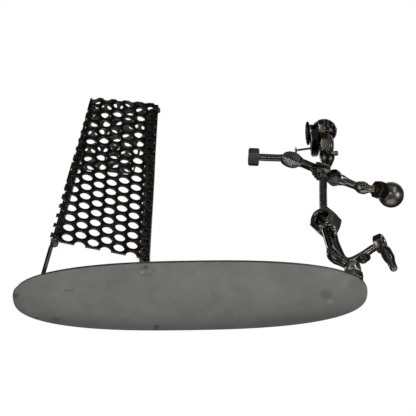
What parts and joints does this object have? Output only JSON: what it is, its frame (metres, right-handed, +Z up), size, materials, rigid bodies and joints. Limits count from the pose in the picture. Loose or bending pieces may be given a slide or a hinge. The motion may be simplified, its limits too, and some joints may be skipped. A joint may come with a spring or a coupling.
{
  "type": "metal bolt figurine",
  "caption": "Handball thrower welded from hex nuts and steel rod, arm drawn back with a ball, before a goal with perforated sheet nets, on an oval steel plate.",
  "frame": {"origin": "middle of the oval plate's underside", "axes": "+X along the plate from the goal to the thrower, who faces -X; +Y away from the front; +Z up"},
  "size_m": [0.3029, 0.0959, 0.1954],
  "materials": {
    "plate_steel": "smooth mid-grey rolled steel, faintly mottled, heat-tinted round the welds",
    "net_steel": "dark lacquered perforated sheet, bright at its cut edges, brown-tinted in places",
    "rod_steel": "dark brown-grey drawn rod, satin",
    "gunmetal": "dark lacquered steel, shiny, with lumpy weld beads and brown heat tints",
    "ball_steel": "dark polished steel ball"
  },
  "bodies": {
    "root": {"base_plate": "plate_steel", "side_net": "net_steel", "roof_net": "net_steel", "mouth_post": "rod_steel", "back_post": "rod_steel", "back_strut": "rod_steel", "ball": "ball_steel", "spine": "gunmetal", "left_shoulder_nut": "gunmetal", "right_shoulder_nut": "gunmetal", "hip_nut": "gunmetal", "neck": "gunmetal", "head_nut": "gunmetal", "face_nut": "gunmetal", "brow_nut": "gunmetal", "head_back": "gunmetal", "cap_dome": "gunmetal", "visor_disc": "gunmetal", "visor_strip": "gunmetal", "mouth_nail": "gunmetal", "ear_stub": "gunmetal", "left_arm": "gunmetal", "left_hand_nut": "gunmetal", "right_arm": "gunmetal", "right_hand_nut": "gunmetal", "standing_leg": "gunmetal", "standing_foot": "gunmetal", "bent_leg": "gunmetal", "bent_foot_nut": "gunmetal", "toe_pin": "gunmetal"}
  },
  "joints": []
}
